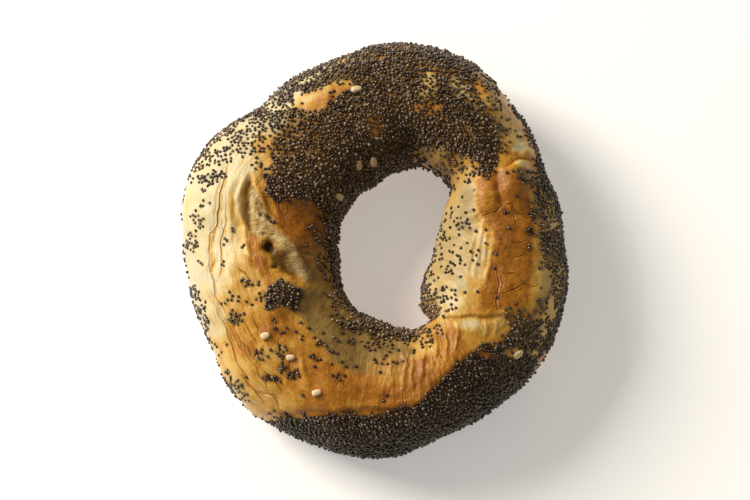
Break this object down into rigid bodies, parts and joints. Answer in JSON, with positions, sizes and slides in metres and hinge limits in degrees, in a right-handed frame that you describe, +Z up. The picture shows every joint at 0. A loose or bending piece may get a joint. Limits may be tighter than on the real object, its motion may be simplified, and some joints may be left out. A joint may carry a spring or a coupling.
{
  "type": "bagel",
  "caption": "Hand-rolled ring bagel, uneven and folded, with poppy and sesame seeds baked on its crust, lying flat.",
  "frame": {"origin": "on the resting face, under the middle of the plan box", "axes": "+Z up out of the crown, +Y along the ring's longer side, +X across it"},
  "size_m": [0.1096, 0.1191, 0.035],
  "materials": {
    "seeded_crust": "satin baked crust"
  },
  "bodies": {
    "root": {"bagel": "seeded_crust"}
  },
  "joints": []
}
